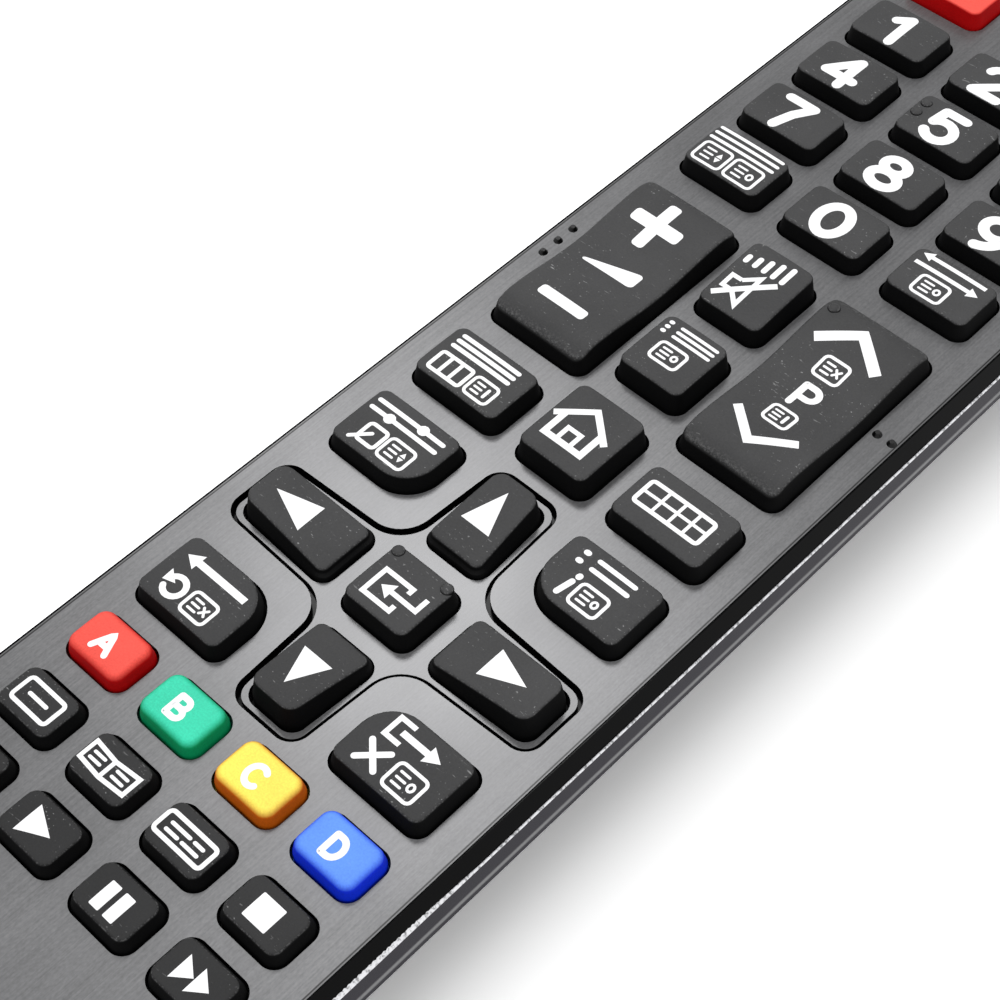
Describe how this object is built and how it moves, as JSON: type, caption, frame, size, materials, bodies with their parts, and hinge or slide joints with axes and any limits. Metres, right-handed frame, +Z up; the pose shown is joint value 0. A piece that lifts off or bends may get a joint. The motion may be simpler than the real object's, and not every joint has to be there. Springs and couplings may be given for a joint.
{
  "type": "universal remote control",
  "caption": "Slim remote control with rubber keys, two rocker keys, a sunk cross-shaped direction pad, a tapered lower housing and a sliding battery cover.",
  "frame": {"origin": "on the surface that the remote lies on, under the middle of its underside", "axes": "+X across to the right as it is held, +Y towards the end that is pointed at the screen, +Z up out of the key panel"},
  "size_m": [0.046, 0.173, 0.0218],
  "materials": {
    "shell_black": "glossy moulded rim",
    "shell_lower": "fine matt grain",
    "panel_grey": "satin film with fine lengthwise brushing",
    "key_rubber": "matt silicone",
    "key_red": "matt silicone",
    "key_green": "matt silicone",
    "key_yellow": "matt silicone",
    "key_blue": "matt silicone",
    "window_dark": "polished, dark to the eye",
    "mat_rubber": "matt silicone sheet",
    "board_green": "solder resist",
    "diode_clear": "clear epoxy",
    "chip_black": "moulded package",
    "ceramic_blue": "dipped coating",
    "sleeve_black": "shrink sleeve",
    "contact_steel": "nickel plate",
    "screw_steel": "zinc plate",
    "cell_wrap": "plain printed wrap"
  },
  "bodies": {
    "housing": {"batteries": "cell_wrap", "battery_plates": "contact_steel", "battery_springs": "contact_steel", "bottom_shell": "shell_lower", "capacitor": "sleeve_black", "case_screws": "screw_steel", "chip_resistors": "chip_black", "circuit_board": "board_green", "controller_chip": "chip_black", "driver_transistor": "chip_black", "faceplate": "panel_grey", "ir_led": "diode_clear", "ir_window": "window_dark", "keypad_mat": "mat_rubber", "pad_plate": "panel_grey", "resonator": "ceramic_blue", "top_shell": "shell_black"},
    "key_1": {"key_1": "key_rubber"},
    "key_2": {"key_2": "key_rubber"},
    "key_3": {"key_3": "key_rubber"},
    "key_4": {"key_4": "key_rubber"},
    "key_5": {"key_5": "key_rubber"},
    "key_6": {"key_6": "key_rubber"},
    "key_7": {"key_7": "key_rubber"},
    "key_8": {"key_8": "key_rubber"},
    "key_9": {"key_9": "key_rubber"},
    "key_text": {"key_text": "key_rubber"},
    "key_0": {"key_0": "key_rubber"},
    "key_previous": {"key_previous": "key_rubber"},
    "key_source": {"key_source": "key_rubber"},
    "key_mute": {"key_mute": "key_rubber"},
    "key_list": {"key_list": "key_rubber"},
    "key_menu": {"key_menu": "key_rubber"},
    "key_hub": {"key_hub": "key_rubber"},
    "key_guide": {"key_guide": "key_rubber"},
    "key_tools": {"key_tools": "key_rubber"},
    "key_info": {"key_info": "key_rubber"},
    "key_return": {"key_return": "key_rubber"},
    "key_exit": {"key_exit": "key_rubber"},
    "key_enter": {"key_enter": "key_rubber"},
    "key_up": {"key_up": "key_rubber"},
    "key_left": {"key_left": "key_rubber"},
    "key_down": {"key_down": "key_rubber"},
    "key_right": {"key_right": "key_rubber"},
    "key_size": {"key_size": "key_rubber"},
    "key_manual": {"key_manual": "key_rubber"},
    "key_subtitle": {"key_subtitle": "key_rubber"},
    "key_stop": {"key_stop": "key_rubber"},
    "key_rewind": {"key_rewind": "key_rubber"},
    "key_play": {"key_play": "key_rubber"},
    "key_pause": {"key_pause": "key_rubber"},
    "key_forward": {"key_forward": "key_rubber"},
    "key_power": {"key_power": "key_red"},
    "key_a": {"key_a": "key_red"},
    "key_b": {"key_b": "key_green"},
    "key_c": {"key_c": "key_yellow"},
    "key_d": {"key_d": "key_blue"},
    "key_volume": {"key_volume": "key_rubber"},
    "key_programme": {"key_programme": "key_rubber"},
    "battery_cover": {"battery_cover": "shell_lower"}
  },
  "joints": [
    {"name": "key_volume_rock", "type": "hinge", "parent": "housing", "child": "key_volume", "pos_m": [-0.0122, 0.017, 0.01595], "axis": [1, 0, 0], "range_deg": [-3, 3], "stiffness_Nm_per_rad": 0.3},
    {"name": "key_programme_rock", "type": "hinge", "parent": "housing", "child": "key_programme", "pos_m": [0.0122, 0.017, 0.01595], "axis": [1, 0, 0], "range_deg": [-3, 3], "stiffness_Nm_per_rad": 0.3},
    {"name": "battery_cover_slide", "type": "slide", "parent": "housing", "child": "battery_cover", "axis": [0, -1, 0], "range_m": [0, 0.07]},
    {"name": "key_enter_press", "type": "slide", "parent": "housing", "child": "key_enter", "axis": [0, 0, -1], "range_m": [0, 0.0008], "stiffness_N_per_m": 1000},
    {"name": "key_up_press", "type": "slide", "parent": "housing", "child": "key_up", "axis": [0, 0, -1], "range_m": [0, 0.0008], "stiffness_N_per_m": 1000},
    {"name": "key_power_press", "type": "slide", "parent": "housing", "child": "key_power", "axis": [0, 0, -1], "range_m": [0, 0.0008], "stiffness_N_per_m": 1000},
    {"name": "key_5_press", "type": "slide", "parent": "housing", "child": "key_5", "axis": [0, 0, -1], "range_m": [0, 0.0008], "stiffness_N_per_m": 1000},
    {"name": "key_mute_press", "type": "slide", "parent": "housing", "child": "key_mute", "axis": [0, 0, -1], "range_m": [0, 0.0008], "stiffness_N_per_m": 1000},
    {"name": "key_a_press", "type": "slide", "parent": "housing", "child": "key_a", "axis": [0, 0, -1], "range_m": [0, 0.0008], "stiffness_N_per_m": 1000},
    {"name": "key_1_press", "type": "slide", "parent": "housing", "child": "key_1", "axis": [0, 0, -1], "range_m": [0, 0.0008], "stiffness_N_per_m": 1000},
    {"name": "key_2_press", "type": "slide", "parent": "housing", "child": "key_2", "axis": [0, 0, -1], "range_m": [0, 0.0008], "stiffness_N_per_m": 1000},
    {"name": "key_3_press", "type": "slide", "parent": "housing", "child": "key_3", "axis": [0, 0, -1], "range_m": [0, 0.0008], "stiffness_N_per_m": 1000},
    {"name": "key_4_press", "type": "slide", "parent": "housing", "child": "key_4", "axis": [0, 0, -1], "range_m": [0, 0.0008], "stiffness_N_per_m": 1000},
    {"name": "key_6_press", "type": "slide", "parent": "housing", "child": "key_6", "axis": [0, 0, -1], "range_m": [0, 0.0008], "stiffness_N_per_m": 1000},
    {"name": "key_7_press", "type": "slide", "parent": "housing", "child": "key_7", "axis": [0, 0, -1], "range_m": [0, 0.0008], "stiffness_N_per_m": 1000},
    {"name": "key_8_press", "type": "slide", "parent": "housing", "child": "key_8", "axis": [0, 0, -1], "range_m": [0, 0.0008], "stiffness_N_per_m": 1000},
    {"name": "key_9_press", "type": "slide", "parent": "housing", "child": "key_9", "axis": [0, 0, -1], "range_m": [0, 0.0008], "stiffness_N_per_m": 1000},
    {"name": "key_text_press", "type": "slide", "parent": "housing", "child": "key_text", "axis": [0, 0, -1], "range_m": [0, 0.0008], "stiffness_N_per_m": 1000},
    {"name": "key_0_press", "type": "slide", "parent": "housing", "child": "key_0", "axis": [0, 0, -1], "range_m": [0, 0.0008], "stiffness_N_per_m": 1000},
    {"name": "key_previous_press", "type": "slide", "parent": "housing", "child": "key_previous", "axis": [0, 0, -1], "range_m": [0, 0.0008], "stiffness_N_per_m": 1000},
    {"name": "key_source_press", "type": "slide", "parent": "housing", "child": "key_source", "axis": [0, 0, -1], "range_m": [0, 0.0008], "stiffness_N_per_m": 1000},
    {"name": "key_list_press", "type": "slide", "parent": "housing", "child": "key_list", "axis": [0, 0, -1], "range_m": [0, 0.0008], "stiffness_N_per_m": 1000},
    {"name": "key_menu_press", "type": "slide", "parent": "housing", "child": "key_menu", "axis": [0, 0, -1], "range_m": [0, 0.0008], "stiffness_N_per_m": 1000},
    {"name": "key_hub_press", "type": "slide", "parent": "housing", "child": "key_hub", "axis": [0, 0, -1], "range_m": [0, 0.0008], "stiffness_N_per_m": 1000},
    {"name": "key_guide_press", "type": "slide", "parent": "housing", "child": "key_guide", "axis": [0, 0, -1], "range_m": [0, 0.0008], "stiffness_N_per_m": 1000},
    {"name": "key_tools_press", "type": "slide", "parent": "housing", "child": "key_tools", "axis": [0, 0, -1], "range_m": [0, 0.0008], "stiffness_N_per_m": 1000},
    {"name": "key_info_press", "type": "slide", "parent": "housing", "child": "key_info", "axis": [0, 0, -1], "range_m": [0, 0.0008], "stiffness_N_per_m": 1000},
    {"name": "key_return_press", "type": "slide", "parent": "housing", "child": "key_return", "axis": [0, 0, -1], "range_m": [0, 0.0008], "stiffness_N_per_m": 1000},
    {"name": "key_exit_press", "type": "slide", "parent": "housing", "child": "key_exit", "axis": [0, 0, -1], "range_m": [0, 0.0008], "stiffness_N_per_m": 1000},
    {"name": "key_left_press", "type": "slide", "parent": "housing", "child": "key_left", "axis": [0, 0, -1], "range_m": [0, 0.0008], "stiffness_N_per_m": 1000},
    {"name": "key_down_press", "type": "slide", "parent": "housing", "child": "key_down", "axis": [0, 0, -1], "range_m": [0, 0.0008], "stiffness_N_per_m": 1000},
    {"name": "key_right_press", "type": "slide", "parent": "housing", "child": "key_right", "axis": [0, 0, -1], "range_m": [0, 0.0008], "stiffness_N_per_m": 1000},
    {"name": "key_size_press", "type": "slide", "parent": "housing", "child": "key_size", "axis": [0, 0, -1], "range_m": [0, 0.0008], "stiffness_N_per_m": 1000},
    {"name": "key_manual_press", "type": "slide", "parent": "housing", "child": "key_manual", "axis": [0, 0, -1], "range_m": [0, 0.0008], "stiffness_N_per_m": 1000},
    {"name": "key_subtitle_press", "type": "slide", "parent": "housing", "child": "key_subtitle", "axis": [0, 0, -1], "range_m": [0, 0.0008], "stiffness_N_per_m": 1000},
    {"name": "key_stop_press", "type": "slide", "parent": "housing", "child": "key_stop", "axis": [0, 0, -1], "range_m": [0, 0.0008], "stiffness_N_per_m": 1000},
    {"name": "key_rewind_press", "type": "slide", "parent": "housing", "child": "key_rewind", "axis": [0, 0, -1], "range_m": [0, 0.0008], "stiffness_N_per_m": 1000},
    {"name": "key_play_press", "type": "slide", "parent": "housing", "child": "key_play", "axis": [0, 0, -1], "range_m": [0, 0.0008], "stiffness_N_per_m": 1000},
    {"name": "key_pause_press", "type": "slide", "parent": "housing", "child": "key_pause", "axis": [0, 0, -1], "range_m": [0, 0.0008], "stiffness_N_per_m": 1000},
    {"name": "key_forward_press", "type": "slide", "parent": "housing", "child": "key_forward", "axis": [0, 0, -1], "range_m": [0, 0.0008], "stiffness_N_per_m": 1000},
    {"name": "key_b_press", "type": "slide", "parent": "housing", "child": "key_b", "axis": [0, 0, -1], "range_m": [0, 0.0008], "stiffness_N_per_m": 1000},
    {"name": "key_c_press", "type": "slide", "parent": "housing", "child": "key_c", "axis": [0, 0, -1], "range_m": [0, 0.0008], "stiffness_N_per_m": 1000},
    {"name": "key_d_press", "type": "slide", "parent": "housing", "child": "key_d", "axis": [0, 0, -1], "range_m": [0, 0.0008], "stiffness_N_per_m": 1000}
  ]
}
